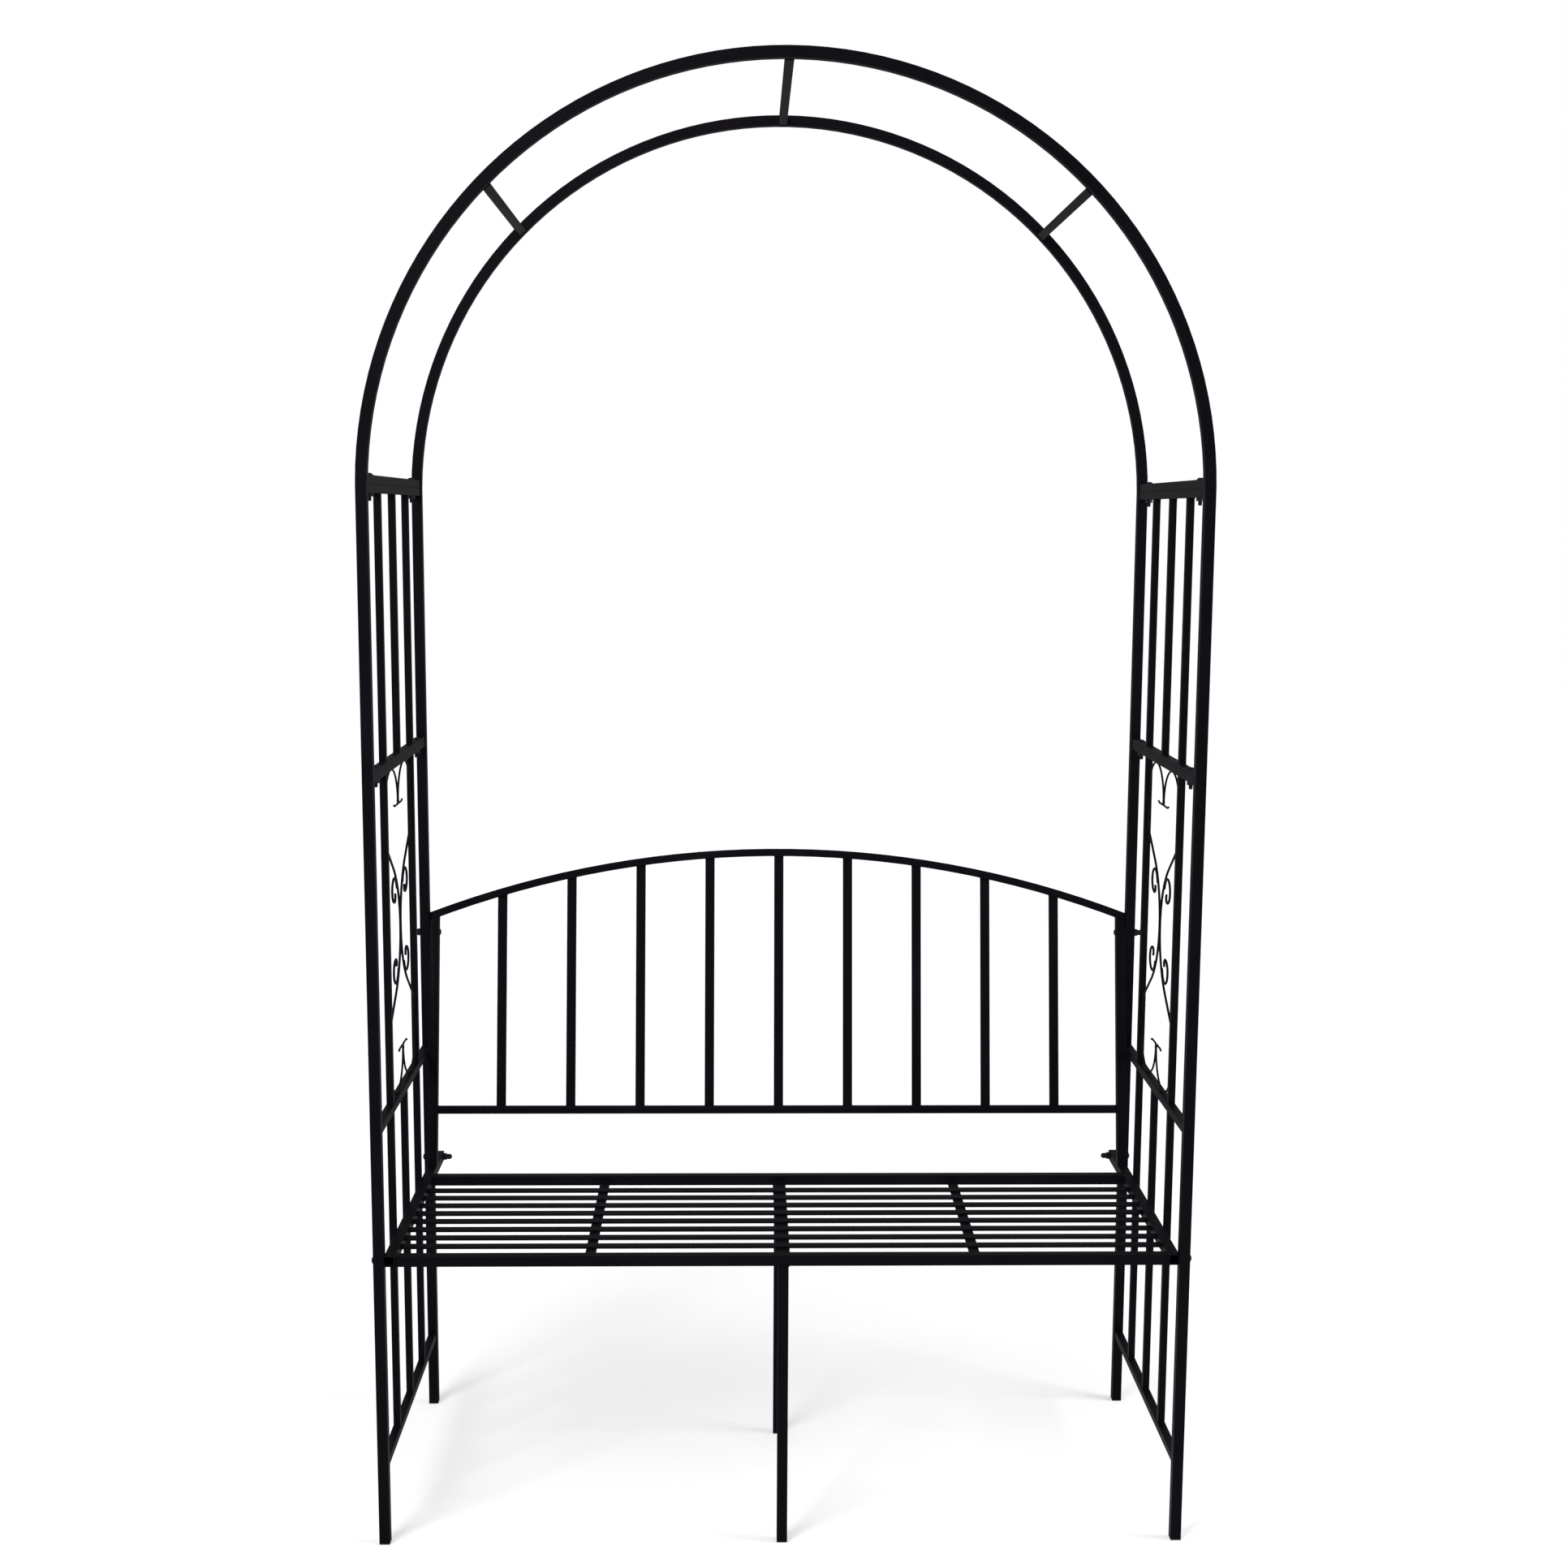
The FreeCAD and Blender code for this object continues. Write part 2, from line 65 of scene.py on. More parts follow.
# The studio floor is pale and matt. It keeps the arch's soft shadow, and glows more with distance,
# so that it is otherwise as white as the room behind it.
floor_reach = 14
floor_mesh = bpy.data.meshes.new("floor")
floor_form = bmesh.new()
bmesh.ops.create_grid(floor_form, x_segments=1, y_segments=1, size=floor_reach)
floor_form.to_mesh(floor_mesh)
floor_form.free()
floor = bpy.data.objects.new("floor", floor_mesh)
bpy.context.collection.objects.link(floor)
floor_paint = bpy.data.materials.new("floor_paint")
floor_paint.use_nodes = True
shader = floor_paint.node_tree.nodes["Principled BSDF"]
shader.inputs["Base Color"].default_value = (0.86, 0.86, 0.86, 1)
shader.inputs["Roughness"].default_value = 0.9
shader.inputs["Specular IOR Level"].default_value = 0.1
shader.inputs["Emission Color"].default_value = (1, 1, 1, 1)
nodes, links = floor_paint.node_tree.nodes, floor_paint.node_tree.links
seen = nodes.new("ShaderNodeLightPath")
place = nodes.new("ShaderNodeTexCoord")
distance = nodes.new("ShaderNodeVectorMath")
distance.operation = "LENGTH"
links.new(place.outputs["Object"], distance.inputs[0])
glow = nodes.new("ShaderNodeMapRange")
glow.inputs["From Min"].default_value = 0.5
glow.inputs["From Max"].default_value = 4.0
glow.inputs["To Min"].default_value = 0.4
glow.inputs["To Max"].default_value = 0.7
links.new(distance.outputs["Value"], glow.inputs["Value"])
seen_glow = nodes.new("ShaderNodeMath")
seen_glow.operation = "MULTIPLY"
links.new(glow.outputs["Result"], seen_glow.inputs[0])
links.new(seen.outputs["Is Camera Ray"], seen_glow.inputs[1])
links.new(seen_glow.outputs[0], shader.inputs["Emission Strength"])
floor_mesh.materials.append(floor_paint)

# The room is white to the camera, and lights the arch at an even, lower level. Two large lamps,
# one in front on the left and one on the right, give the posts their lit and shaded sides.
room = bpy.data.worlds.new("room")
room.use_nodes = True
bpy.context.scene.world = room
nodes, links = room.node_tree.nodes, room.node_tree.links
background = nodes["Background"]
seen = nodes.new("ShaderNodeLightPath")
strength = nodes.new("ShaderNodeMapRange")
strength.inputs["To Min"].default_value = 0.35
strength.inputs["To Max"].default_value = 1.0
links.new(seen.outputs["Is Camera Ray"], strength.inputs["Value"])
background.inputs["Color"].default_value = (1, 1, 1, 1)
links.new(strength.outputs["Result"], background.inputs["Strength"])
for name, place, aim, size, power in (
        ("key", (-2.2, -3.0, 3.6), (0, 0, 1.1), 1.8, 120),
        ("side", (3.2, -0.6, 2.2), (0, 0, 1.0), 1.4, 60)):
    lamp = bpy.data.objects.new(name, bpy.data.lights.new(name, "AREA"))
    lamp.data.size = size
    lamp.data.energy = power
    lamp.location = place
    lamp.rotation_mode = "QUATERNION"
    lamp.rotation_quaternion = (Vector(place) - Vector(aim)).to_track_quat("Z", "Y")
    bpy.context.collection.objects.link(lamp)


# The posts, arch tubes, seat rails and legs are 15 mm square tube in mild steel, welded into panels
# that bolt together. Like every bar of the frame they have one black powder coat, sprayed on after
# welding, with a fine orange-peel skin that rounds off the corners of the tube.
def powder_coat(name, edge):
    material = bpy.data.materials.new(name)
    material.use_nodes = True
    nodes, links = material.node_tree.nodes, material.node_tree.links
    shader = nodes["Principled BSDF"]
    place = nodes.new("ShaderNodeTexCoord")

    def noise(scale, detail):
        node = nodes.new("ShaderNodeTexNoise")
        node.inputs["Scale"].default_value = scale
        node.inputs["Detail"].default_value = detail
        links.new(place.outputs["Object"], node.inputs["Vector"])
        return node

    cloud = noise(scale=9, detail=3)
    peel = noise(scale=420, detail=2)
    grain = noise(scale=1500, detail=2)
    tone = nodes.new("ShaderNodeValToRGB")
    dark, light = tone.color_ramp.elements
    dark.color, dark.position = (0.0024, 0.0020, 0.0034, 1), 0.3
    light.color, light.position = (0.0044, 0.0036, 0.0062, 1), 0.7
    links.new(cloud.outputs["Fac"], tone.inputs["Fac"])
    links.new(tone.outputs["Color"], shader.inputs["Base Color"])
    gloss = nodes.new("ShaderNodeMapRange")
    gloss.inputs["To Min"].default_value = 0.45
    gloss.inputs["To Max"].default_value = 0.6
    links.new(grain.outputs["Fac"], gloss.inputs["Value"])
    links.new(gloss.outputs["Result"], shader.inputs["Roughness"])
    rounded = nodes.new("ShaderNodeBevel")
    rounded.samples = 6
    rounded.inputs["Radius"].default_value = edge
    grain_share = 0.4
    height = nodes.new("ShaderNodeMath")
    height.operation = "MULTIPLY_ADD"
    height.inputs[1].default_value = grain_share
    links.new(grain.outputs["Fac"], height.inputs[0])
    links.new(peel.outputs["Fac"], height.inputs[2])
    skin = nodes.new("ShaderNodeBump")
    skin.inputs["Strength"].default_value = 0.3
    skin.inputs["Distance"].default_value = 0.0003
    links.new(height.outputs[0], skin.inputs["Height"])
    links.new(rounded.outputs["Normal"], skin.inputs["Normal"])
    links.new(skin.outputs["Normal"], shader.inputs["Normal"])
    shader.inputs["Specular IOR Level"].default_value = 0.06
    shader.inputs["Specular Tint"].default_value = (0.94, 0.87, 1, 1)
    return material


def finish_nodes(material, corner, names):
    # a corner of 0 leaves the edges sharp
    merge_distance, corner_angle = 0.00001, 60
    for name in names:
        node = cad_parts[name]
        node.data.materials.clear()
        node.data.materials.append(material)
        if corner:
            node.modifiers.new("weld", "WELD").merge_threshold = merge_distance
            rolled = node.modifiers.new("rolled_corner", "BEVEL")
            rolled.width = corner
            rolled.segments = 3
            rolled.limit_method = "ANGLE"
            rolled.angle_limit = math.radians(corner_angle)
            rolled.use_clamp_overlap = False


def left_and_right(*names):
    return [f"{name}_{side}" for name in names for side in ("left", "right")]


tube_corner = 0.00045
tube_coat = powder_coat("tube_coat", 0.0015)
finish_nodes(tube_coat, tube_corner, [
    "arch_front_tube", "arch_rear_tube", "seat_front_rail", "seat_rear_rail",
    "seat_leg_front", "seat_leg_rear",
    *left_and_right("upper_post_front", "upper_post_rear", "lower_post_front", "lower_post_rear",
                    "seat_side_rail", "back_end_post")])

# The lighter tubes are crossbars and rungs of 12 mm tube and upright panel bars of 10 mm tube, welded
# between the posts. The bars that are bolted together have rounder corners, so a seam shows between them.
bar_coat = powder_coat("bar_coat", 0.001)
bolted_bar_corner = 0.001
finish_nodes(bar_coat, tube_corner, [
    "arch_rung_left", "arch_rung_centre", "arch_rung_right", "back_top_rail", "back_bottom_rail",
    *left_and_right("scroll_rail", "lower_rail", "upper_bars", "scroll_bars", "lower_bars")])
finish_nodes(bar_coat, bolted_bar_corner, left_and_right("arch_foot_bar", "upper_top_bar", "lower_top_bar"))

# The slats, the strips under them, the bars of the backrest and the feet of the upper panels are
# flat steel strip, sheared to length and welded in place. Its rolled edges are only slightly broken.
strip_coat = powder_coat("strip_coat", 0.0005)
thin_strip_corner, thick_strip_corner = 0.0004, 0.0005
finish_nodes(strip_coat, thin_strip_corner, [
    "seat_slats", "seat_cross_strips", "seat_centre_strip", "back_bars"])
finish_nodes(strip_coat, thick_strip_corner, left_and_right("upper_bottom_bar"))


# The scrollwork is round rod, bent cold and tacked together: two arcs back to back, four curls that
# leave them, and four hoops whose stems end in turned-out arms. Each rod is drawn in the upper rear
# quarter and turned over. Millimetres from the middle of the panel, u to the rear and v upwards.
def verts_in(parts):
    return [part for part in parts if isinstance(part, bmesh.types.BMVert)]


def edges_in(parts):
    return [part for part in parts if isinstance(part, bmesh.types.BMEdge)]


def edges_of(verts):
    return list(dict.fromkeys(edge for vert in verts for edge in vert.link_edges))


def bent_rod(form, radius, place, heading, moves):
    # a move is a bend's radius and turn in degrees, or None and the length of a straight run
    sides, step_turn, step_sweep = 14, 9, 900
    place = Vector((0, *place))
    turned = Matrix.Rotation(math.radians(heading - 90), 4, "X")
    end = bmesh.ops.create_circle(form, segments=sides, radius=radius,
                                  matrix=Matrix.Translation(place) @ turned)
    edges = edges_of(end["verts"])
    for bend, turn in moves:
        ahead = Vector((0, math.cos(math.radians(heading)), math.sin(math.radians(heading))))
        if bend is None:
            grown = bmesh.ops.extrude_edge_only(form, edges=edges)["geom"]
            bmesh.ops.translate(form, vec=ahead * turn, verts=verts_in(grown))
            place = place + ahead * turn
        else:
            centre = place + Vector((0, -ahead.z, ahead.y)) * math.copysign(bend, turn)
            steps = math.ceil(abs(turn) / step_turn) + math.ceil(bend * abs(turn) / step_sweep)
            grown = bmesh.ops.spin(form, geom=edges, cent=centre, axis=(1, 0, 0), angle=math.radians(turn),
                                   steps=steps)["geom_last"]
            place = centre + Matrix.Rotation(math.radians(turn), 3, "X") @ (place - centre)
            heading += turn
        edges = edges_in(grown)


def turn_over(form, direction):
    twin = bmesh.ops.duplicate(form, geom=form.verts[:] + form.edges[:] + form.faces[:])["geom"]
    bmesh.ops.scale(form, vec=direction, verts=verts_in(twin))


def close_ends(form):
    bmesh.ops.holes_fill(form, edges=[edge for edge in form.edges if edge.is_boundary])


def finished_piece(name, form, material, is_smooth):
    # forms are drawn in millimetres, and the frame is in metres
    bmesh.ops.scale(form, vec=(0.001, 0.001, 0.001), verts=form.verts)
    for face in form.faces:
        face.smooth = is_smooth(face)
    bmesh.ops.recalc_face_normals(form, faces=form.faces)
    mesh = bpy.data.meshes.new(name)
    form.to_mesh(mesh)
    form.free()
    mesh.materials.append(material)
    piece = bpy.data.objects.new(name, mesh)
    bpy.context.collection.objects.link(piece)
    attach(piece, "root")
    return piece


def box_in_millimetres(name):
    return [Vector([round(value * 1000, 4) for value in corner]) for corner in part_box(name)]


arc_rod_radius, hoop_rod_radius = 1.75, 1.5
arc_bar_u, arc_end_v, arc_end_length, arc_end_radius = 107.05, 148.14, 18, 25
arc_straight, arc_turn, arc_radius = 58.5, 54.017, 115.59
hoop_bar_u, hoop_v, hoop_radius = 107.3, 186.64, 52.91
arm_bend, arm_straight, arm_tip, arm_tip_turn = 4.5, 21.17, 12, 35
curl_u, curl_v, curl_radius, hook_radius, hook_turn = 45.17, 60.48, 18, 7, 130
tail_radius, tail_turn, touch_angle = 44.93, 18, 140.03
arc_run = [(None, arc_end_length), (arc_end_radius, -arc_turn), (None, arc_straight)]
touch, tail = (Vector((math.cos(math.radians(angle)), math.sin(math.radians(angle))))
               for angle in (touch_angle, touch_angle + tail_turn))
curl_start = Vector((curl_u, curl_v)) + touch * (curl_radius - tail_radius) + tail * tail_radius
rod_coat = powder_coat("rod_coat", 0.0004)
for side in ("left", "right"):
    scrollwork = bmesh.new()
    bent_rod(scrollwork, hoop_rod_radius, (hoop_bar_u, hoop_v), 90,
             [(hoop_radius, 180), (arm_bend, 90), (None, arm_straight), (arm_tip, arm_tip_turn)])
    bent_rod(scrollwork, arc_rod_radius, curl_start, touch_angle + tail_turn - 90,
             [(tail_radius, -tail_turn), (curl_radius, -touch_angle - 90), (hook_radius, -hook_turn)])
    turn_over(scrollwork, (1, 1, -1))
    bent_rod(scrollwork, arc_rod_radius, (arc_bar_u, arc_end_v + arc_end_length), -90,
             [*arc_run, (arc_radius, 2 * arc_turn), *reversed(arc_run)])
    turn_over(scrollwork, (1, -1, 1))
    close_ends(scrollwork)
    low, high = box_in_millimetres(f"scroll_bars_{side}")
    bmesh.ops.translate(scrollwork, vec=(low + high) / 2, verts=scrollwork.verts)
    piece = finished_piece(f"scroll_rods_{side}", scrollwork, rod_coat, lambda face: len(face.verts) == 4)
    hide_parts(f"scroll_hoops_{side}", f"scroll_arcs_{side}", f"scroll_curls_{side}")


# Weld beads in mild steel, laid before the coat, close every joint of the side panels: crossbars on
# posts and upright bars on crossbars. Each is a short run of ripples lying in the corner. The scroll
# rods are only tacked, where they touch each other, the long bars and the crossbars.
def bead(form, start, end, radius=1.7):
    start, end = Vector(start), Vector(end)
    run = end - start
    turned = run.to_track_quat("Z", "Y").to_matrix().to_4x4()
    ripple_length, neck = 2, 0.7
    steps = 2 * max(2, round(run.length / ripple_length))
    ring = bmesh.ops.create_circle(form, segments=6, radius=radius * neck,
                                   matrix=Matrix.Translation(start) @ turned)
    edges = edges_of(ring["verts"])
    for step in range(1, steps + 1):
        grown = bmesh.ops.extrude_edge_only(form, edges=edges)["geom"]
        edges = edges_in(grown)
        bmesh.ops.translate(form, vec=run / steps, verts=verts_in(grown))
        size = 1 / neck if step % 2 else neck
        bmesh.ops.scale(form, vec=(size, size, size), verts=verts_in(grown),
                        space=Matrix.Translation(-(start + run * step / steps)))


def weld_piece(name, form):
    close_ends(form)
    piece = finished_piece(name, form, rod_coat, lambda face: True)


front_low, front_high = box_in_millimetres("lower_post_front_right")
rear_low, rear_high = box_in_millimetres("lower_post_rear_right")
post_x = (front_low.x + front_high.x) / 2
front_post_y, rear_post_y = (front_low.y + front_high.y) / 2, (rear_low.y + rear_high.y) / 2
spaces_between_posts, half_bar = 4, 5
bar_pitch = (rear_post_y - front_post_y) / spaces_between_posts
panel_welds = bmesh.new()
for name in ("lower_rail", "scroll_rail", "lower_top_bar",
             "upper_bottom_bar", "upper_top_bar", "arch_foot_bar"):
    low, high = box_in_millimetres(f"{name}_right")
    for y in (low.y, high.y):
        for x in (low.x, high.x):
            bead(panel_welds, (x, y, low.z), (x, y, high.z))
for name, numbers in (("lower_bars", (1, 2, 3)), ("scroll_bars", (1, 3)), ("upper_bars", (1, 2, 3))):
    low, high = box_in_millimetres(f"{name}_right")
    for number in numbers:
        middle = front_post_y + bar_pitch * number
        for height in (low.z, high.z):
            for y in (middle - half_bar, middle + half_bar):
                bead(panel_welds, (low.x, y, height), (high.x, y, height))
# one quarter of the tacks, each as its u and v from the middle of the panel
tacks = ((0, 0), (0, 187), (107.3, 165.5), (107.6, 188), (54.4, 240.5), (30, 73.1))
tack_radius = 2.3
low, high = box_in_millimetres("scroll_bars_right")
for u, v in tacks:
    for across in sorted({-u, u}):
        for upward in sorted({-v, v}):
            at = Matrix.Translation((low + high) / 2 + Vector((0, across, upward)))
            bmesh.ops.create_icosphere(panel_welds, subdivisions=2, radius=tack_radius, matrix=at)
turn_over(panel_welds, (-1, 1, 1))
weld_piece("panel_welds", panel_welds)


# The rungs are welded to both arch tubes along their upper and lower edges. The beads are laid at
# the crown, and turned about the arch's centre for the rungs at its shoulders.
def new_verts(form, before):
    return [vert for vert in form.verts if vert not in before]


rung_angle = 45
rung_low, rung_high = box_in_millimetres("arch_rung_centre")
arch_low, arch_high = box_in_millimetres("arch_front_tube")
arch_half_width, arch_rise = front_high.x, arch_high.z - arch_low.z
arch_radius = (arch_half_width ** 2 + arch_rise ** 2) / (2 * arch_rise)
arch_centre = (0, 0, arch_high.z - arch_radius)
rung_welds = bmesh.new()
for turn in (-rung_angle, 0, rung_angle):
    before = set(rung_welds.verts)
    for y in (rung_low.y, rung_high.y):
        for z in (rung_low.z, rung_high.z):
            bead(rung_welds, (rung_low.x, y, z), (rung_high.x, y, z))
    bmesh.ops.rotate(rung_welds, verts=new_verts(rung_welds, before), cent=arch_centre,
                     matrix=Matrix.Rotation(math.radians(turn), 3, "Y"))
weld_piece("rung_welds", rung_welds)

# The seat's rails, slats, strips and centre legs are welded into one grid. The rails have heavier
# beads. The slats and strips are welded from underneath, the strips with a finer bead.
heavy_bead, fine_bead = 2, 1.4
slat_count, slat_pitch, slat_width = 8, 33.8, 15
strips = ((-273.5, 7.5), (0, 10), (273.5, 7.5))
seat_welds = bmesh.new()
front_rail_low, front_rail_high = box_in_millimetres("seat_front_rail")
rear_rail_low, rear_rail_high = box_in_millimetres("seat_rear_rail")
rail_end, rail_bottom, rail_top = front_rail_high.x, front_rail_low.z, front_rail_high.z
for y in (front_rail_low.y, front_rail_high.y, rear_rail_low.y, rear_rail_high.y):
    for x in (-rail_end, rail_end):
        bead(seat_welds, (x, y, rail_bottom), (x, y, rail_top), heavy_bead)
slats_low = box_in_millimetres("seat_slats")[0]
for number in range(slat_count):
    y = slats_low.y + slat_pitch * number
    for x in (-rail_end, rail_end):
        bead(seat_welds, (x, y, slats_low.z), (x, y + slat_width, slats_low.z))
for middle, half in strips:
    for y in (front_rail_high.y, rear_rail_low.y):
        bead(seat_welds, (middle - half, y, slats_low.z), (middle + half, y, slats_low.z), fine_bead)
for name in ("seat_leg_front", "seat_leg_rear"):
    low, high = box_in_millimetres(name)
    for y in (low.y, high.y):
        bead(seat_welds, (low.x, y, rail_bottom), (high.x, y, rail_bottom))
    for x in (low.x, high.x):
        bead(seat_welds, (x, low.y, rail_bottom), (x, high.y, rail_bottom))
weld_piece("seat_welds", seat_welds)

# The backrest's nine flat bars are welded between its arched top rail and its straight bottom rail,
# which is welded to the end posts. The beads are placed upright, and laid back with the backrest.
back_bolt_z, recline = 795, 10
back_crown, back_rise, back_rail = 134.5, 103, 12
back_bar_count, back_bar_pitch, half_width, half_strip = 9, 111, 7.5, 1.5
bottom_rail_low, bottom_rail_high, half_rail = 505, 517, 6
panel_inside, end_post_inside = 560, 545
top_radius = (panel_inside ** 2 + back_rise ** 2) / (2 * back_rise)
under_radius = top_radius - back_rail
back_welds = bmesh.new()
for number in range(back_bar_count):
    x = back_bar_pitch * (number - (back_bar_count - 1) / 2)
    top = back_bolt_z + back_crown - top_radius + math.sqrt(under_radius ** 2 - x ** 2)
    slope = -x / under_radius * half_width
    for y in (rear_post_y - half_strip, rear_post_y + half_strip):
        for height, climb in ((bottom_rail_high, 0), (top, slope)):
            start, end = (x - half_width, y, height - climb), (x + half_width, y, height + climb)
            bead(back_welds, start, end, fine_bead)
for x in (-end_post_inside, end_post_inside):
    for y in (rear_post_y - half_rail, rear_post_y + half_rail):
        bead(back_welds, (x, y, bottom_rail_low), (x, y, bottom_rail_high))
bmesh.ops.rotate(back_welds, verts=back_welds.verts, cent=(0, rear_post_y, back_bolt_z),
                 matrix=Matrix.Rotation(math.radians(-recline), 3, "X"))
weld_piece("back_welds", back_welds)


# The fasteners are M6 steel, blackened and a little shinier than the frame: domed bolts with a
# hexagon socket, plain nuts whose bolts show a little thread, and cap nuts on the seat and backrest.
# They hold the panels to each other and the bench to the panels. Each is drawn along Z.
def fastener_steel():
    material = powder_coat("fastener_steel", 0.0004)
    shader = material.node_tree.nodes["Principled BSDF"]
    shader.inputs["Metallic"].default_value = 0.35
    shader.inputs["Specular IOR Level"].default_value = 0.4
    return material


def placed(form, verts, place, axis):
    turned = Vector(axis).to_track_quat("Z", "Y").to_matrix().to_4x4()
    bmesh.ops.transform(form, matrix=Matrix.Translation(place) @ turned, verts=verts)


def dome(form, base_radius, height, top):
    # part of a ball over the XY plane, open at the top where top cuts it
    ball = (base_radius ** 2 + height ** 2) / (2 * height)
    before = set(form.verts)
    bmesh.ops.create_uvsphere(form, u_segments=24, v_segments=36, radius=ball,
                              matrix=Matrix.Translation((0, 0, height - ball)))
    for level, keep in ((0, -1), (top, 1)):
        verts = new_verts(form, before)
        faces = list(dict.fromkeys(face for vert in verts for face in vert.link_faces))
        bmesh.ops.bisect_plane(form, geom=verts + edges_of(verts) + faces, plane_co=(0, 0, level),
                               plane_no=(0, 0, keep), clear_outer=True)
    return new_verts(form, before)


def domed_head(form):
    head_radius, head_height, flat_level = 6, 3.3, 2.9
    socket_radius, socket_depth = 2.3, 1.8
    before = set(form.verts)
    verts = dome(form, head_radius, head_height, flat_level)
    rim = [edge for edge in edges_of(verts) if edge.is_boundary and edge.verts[0].co.z > flat_level / 2]
    hexagon = bmesh.ops.create_circle(form, segments=6, radius=socket_radius,
                                      matrix=Matrix.Translation((0, 0, flat_level)))["verts"]
    mouth = edges_of(hexagon)
    bmesh.ops.bridge_loops(form, edges=rim + mouth)
    wall = bmesh.ops.extrude_edge_only(form, edges=mouth)["geom"]
    bmesh.ops.translate(form, vec=(0, 0, -socket_depth), verts=verts_in(wall))
    bmesh.ops.holes_fill(form, edges=edges_in(wall))
    return new_verts(form, before)


def threaded_end(form, start, end):
    # a plain core with a chamfered tip, and a ridge that winds round it once a millimetre
    core_radius, chamfer, tip_share = 2.6, 0.6, 0.8
    ridge_radius, ridge_middle, ridge_start, plain_ends, sides = 0.42, 2.62, 0.5, 1.6, 16
    before = set(form.verts)
    edges = edges_of(bmesh.ops.create_circle(form, segments=sides, radius=core_radius,
                                             matrix=Matrix.Translation((0, 0, start)))["verts"])
    for rise, size in ((end - start - chamfer, 1), (chamfer, tip_share)):
        grown = bmesh.ops.extrude_edge_only(form, edges=edges)["geom"]
        edges = edges_in(grown)
        bmesh.ops.translate(form, vec=(0, 0, rise), verts=verts_in(grown))
        bmesh.ops.scale(form, vec=(size, size, 1), verts=verts_in(grown))
    bmesh.ops.holes_fill(form, edges=edges)
    turns = int(end - start - plain_ends)
    at = Matrix.Translation((ridge_middle, 0, start + ridge_start))
    ridge = bmesh.ops.create_circle(form, segments=3, radius=ridge_radius,
                                    matrix=at @ Matrix.Rotation(math.radians(90), 4, "X"))
    bmesh.ops.spin(form, geom=edges_of(ridge["verts"]), cent=(0, 0, 0), axis=(0, 0, 1),
                   dvec=(0, 0, 1 / sides), angle=math.radians(360 * turns), steps=sides * turns)
    return new_verts(form, before)


def hexagon_nut(form):
    corner_radius, thickness, corner_cut = 5.77, 5, 0.9
    before = set(form.verts)
    ring = edges_of(bmesh.ops.create_circle(form, segments=6, radius=corner_radius)["verts"])
    grown = bmesh.ops.extrude_edge_only(form, edges=ring)["geom"]
    bmesh.ops.translate(form, vec=(0, 0, thickness), verts=verts_in(grown))
    verts = new_verts(form, before)
    bmesh.ops.holes_fill(form, edges=edges_of(verts))
    bmesh.ops.bevel(form, geom=[vert for vert in verts if vert.co.z > thickness / 2], affect="VERTICES",
                    offset=corner_cut, segments=1, profile=0.5, material=-1)
    return new_verts(form, before)


def cap(form):
    cap_radius, shoulder, skirt = 4.25, 9.75, 4.8
    before = set(form.verts)
    verts = dome(form, cap_radius, cap_radius, 2 * cap_radius)
    bmesh.ops.translate(form, vec=(0, 0, shoulder), verts=verts)
    rim = [edge for edge in edges_of(verts) if edge.is_boundary]
    grown = bmesh.ops.extrude_edge_only(form, edges=rim)["geom"]
    bmesh.ops.translate(form, vec=(0, 0, -skirt), verts=verts_in(grown))
    return new_verts(form, before)


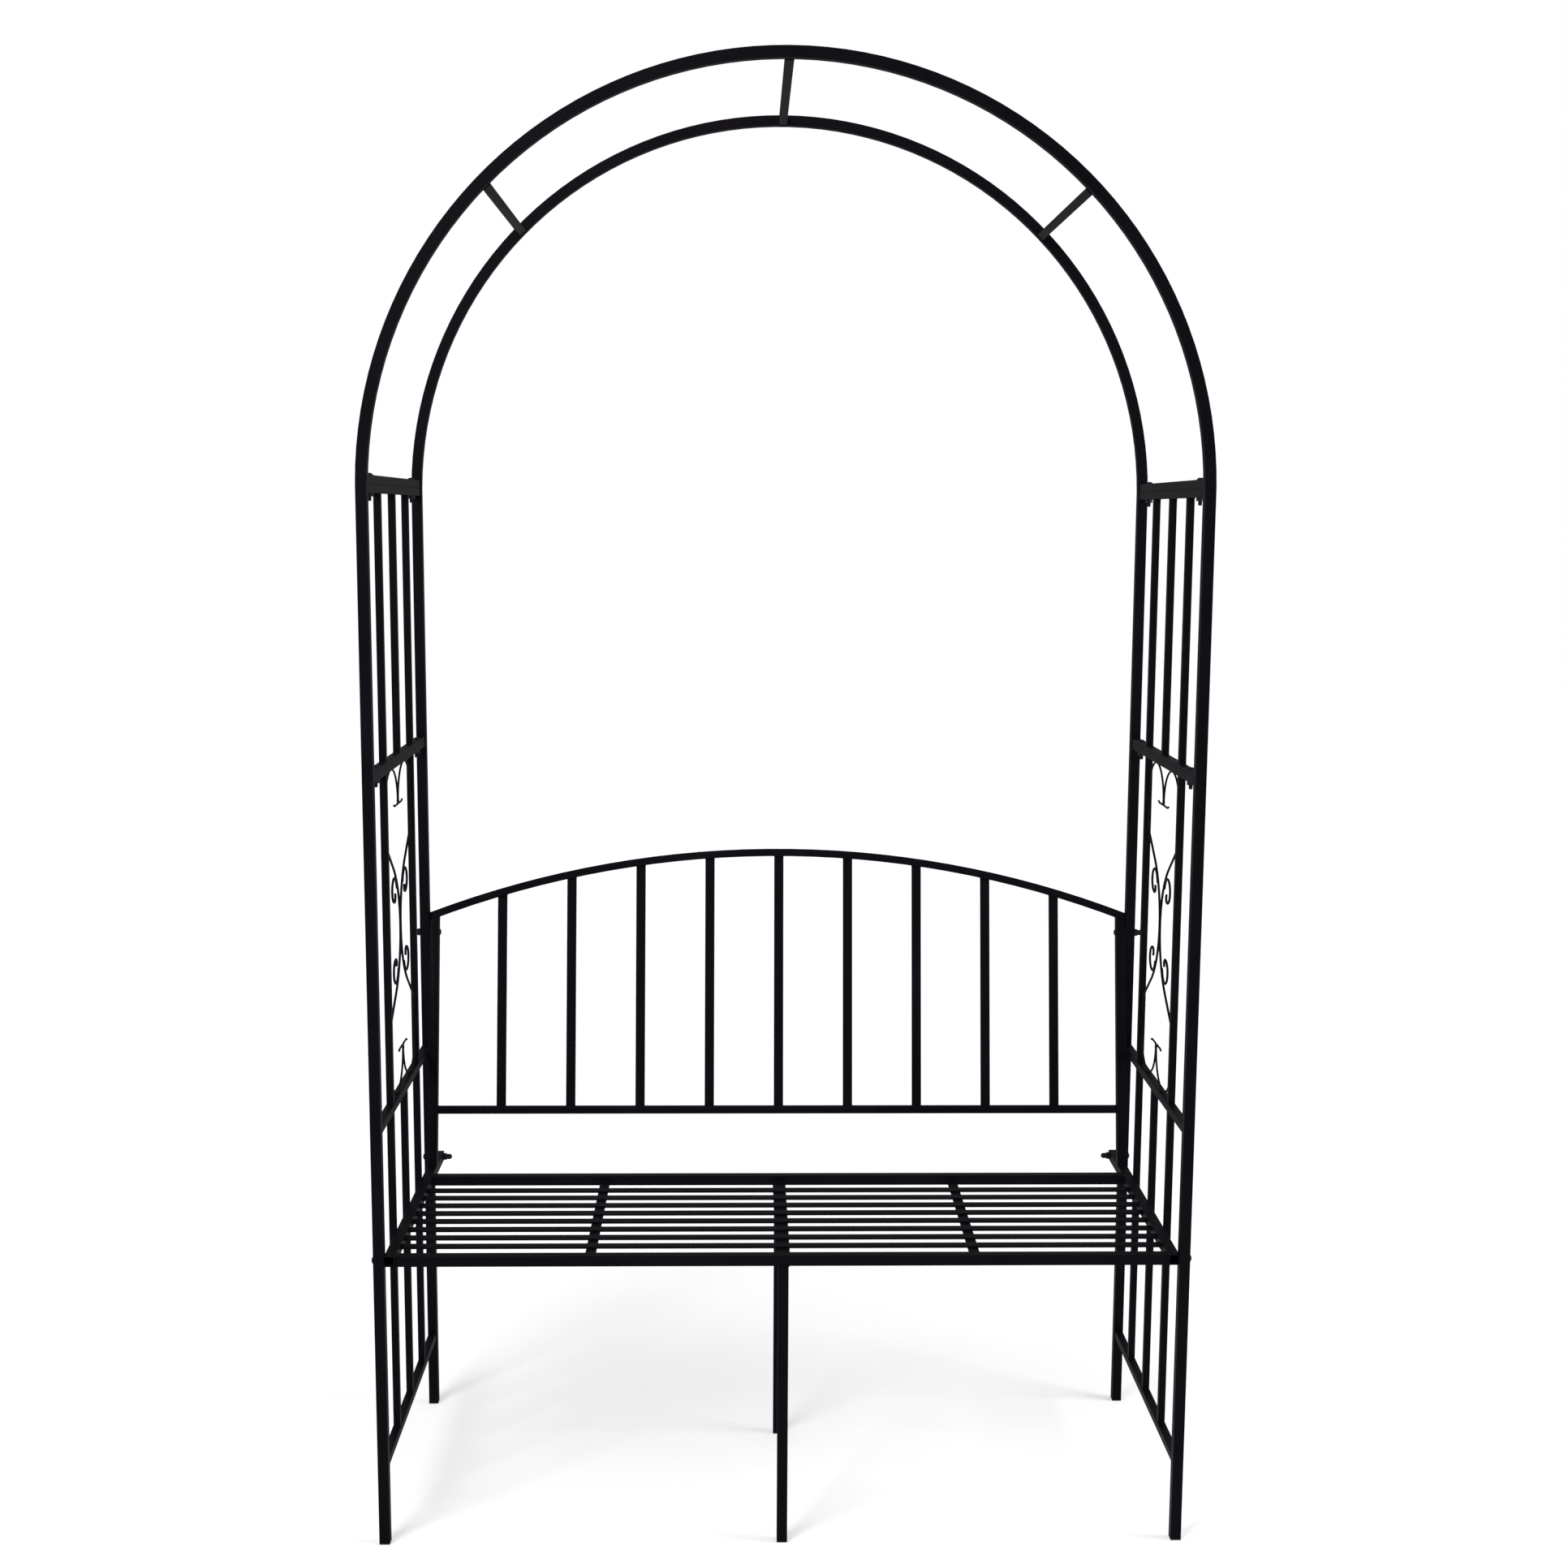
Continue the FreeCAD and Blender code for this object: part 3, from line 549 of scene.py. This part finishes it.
panel_bolt_inset, thread_start, thread_end = 62, 4, 11
post_outside, seat_bolt_z = front_high.x, (rail_bottom + rail_top) / 2
fasteners = bmesh.new()
for side in (-1, 1):
    for lower_bar, upper_bar in (("lower_top_bar", "upper_bottom_bar"), ("upper_top_bar", "arch_foot_bar")):
        under = box_in_millimetres(f"{lower_bar}_right")[0].z
        over = box_in_millimetres(f"{upper_bar}_right")[1].z
        for y in (front_low.y + panel_bolt_inset, rear_high.y - panel_bolt_inset):
            x = side * post_x
            placed(fasteners, domed_head(fasteners), (x, y, over), (0, 0, 1))
            placed(fasteners, hexagon_nut(fasteners), (x, y, under), (0, 0, -1))
            placed(fasteners, threaded_end(fasteners, thread_start, thread_end), (x, y, under), (0, 0, -1))
    for y in (front_post_y, rear_post_y):
        placed(fasteners, domed_head(fasteners), (side * post_outside, y, seat_bolt_z), (side, 0, 0))
        for shape in (hexagon_nut, cap):
            placed(fasteners, shape(fasteners), (side * rail_end, y, seat_bolt_z), (-side, 0, 0))
    inside, outside = ((side * x, rear_post_y, back_bolt_z) for x in (end_post_inside, post_outside))
    placed(fasteners, domed_head(fasteners), inside, (-side, 0, 0))
    for shape in (hexagon_nut, cap):
        placed(fasteners, shape(fasteners), outside, (side, 0, 0))
# only the small faces of the domes, threads and caps are shaded round; the limit is in square metres
largest_round_face = 8e-6
piece = finished_piece("fasteners", fasteners, fastener_steel(),
                       lambda face: face.calc_area() < largest_round_face and len(face.verts) < 5)
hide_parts("panel_bolts", "panel_nuts", "seat_bolts", "seat_cap_nuts", "back_bolts", "back_cap_nuts")


# The foot plugs are moulded in black plastic and pressed into the open ends of the posts and the
# centre legs. They are matt and faintly grained.
def moulded_plastic():
    material = bpy.data.materials.new("moulded_plastic")
    material.use_nodes = True
    nodes, links = material.node_tree.nodes, material.node_tree.links
    shader = nodes["Principled BSDF"]
    place = nodes.new("ShaderNodeTexCoord")
    grain = nodes.new("ShaderNodeTexNoise")
    grain.inputs["Scale"].default_value = 2200
    grain.inputs["Detail"].default_value = 3
    links.new(place.outputs["Object"], grain.inputs["Vector"])
    tone = nodes.new("ShaderNodeValToRGB")
    dark, light = tone.color_ramp.elements
    dark.color, light.color = (0.010, 0.010, 0.011, 1), (0.018, 0.018, 0.019, 1)
    links.new(grain.outputs["Fac"], tone.inputs["Fac"])
    links.new(tone.outputs["Color"], shader.inputs["Base Color"])
    skin = nodes.new("ShaderNodeBump")
    skin.inputs["Strength"].default_value = 0.4
    skin.inputs["Distance"].default_value = 0.0001
    links.new(grain.outputs["Fac"], skin.inputs["Height"])
    links.new(skin.outputs["Normal"], shader.inputs["Normal"])
    shader.inputs["Roughness"].default_value = 0.65
    return material


finish_nodes(moulded_plastic(), 0, ["foot_plugs"])
